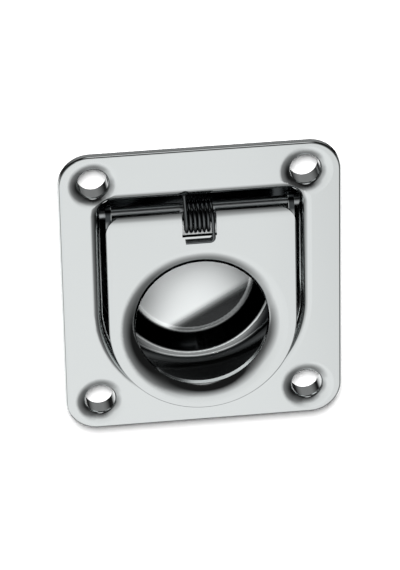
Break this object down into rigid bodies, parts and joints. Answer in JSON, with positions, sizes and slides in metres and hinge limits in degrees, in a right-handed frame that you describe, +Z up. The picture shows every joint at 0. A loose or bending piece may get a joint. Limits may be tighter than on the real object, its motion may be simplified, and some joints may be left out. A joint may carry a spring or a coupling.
{
  "type": "recessed pull handle",
  "caption": "Flush recessed pull handle: a drawn steel pan with a screw flange and a spring-closed flap that has a round finger hole and swings out on a pin.",
  "frame": {"origin": "middle of the four screw holes, on the back of the flange where the handle bears on its panel", "axes": "+X to the right as seen from the front, +Z up toward the hinge pin, -Y out of the face toward the user, +Y into the panel"},
  "size_m": [0.057, 0.0232, 0.0614],
  "materials": {
    "polished_sheet": "mirror-polished stainless steel sheet",
    "flap_sheet": "mirror-polished stainless steel sheet",
    "pin_steel": "drawn bright stainless steel rod",
    "spring_wire": "bright stainless spring wire"
  },
  "bodies": {
    "pan": {"base_pan": "polished_sheet", "hinge_pin": "pin_steel", "torsion_spring": "spring_wire"},
    "flap": {"pull_flap": "flap_sheet"}
  },
  "joints": [
    {"name": "flap_hinge", "type": "hinge", "parent": "pan", "child": "flap", "pos_m": [0, 0.0018, 0.0165], "axis": [-1, 0, 0], "range_deg": [0, 92], "stiffness_Nm_per_rad": 0.024, "springref_deg": -60.16, "deforming": ["torsion_spring"]}
  ]
}
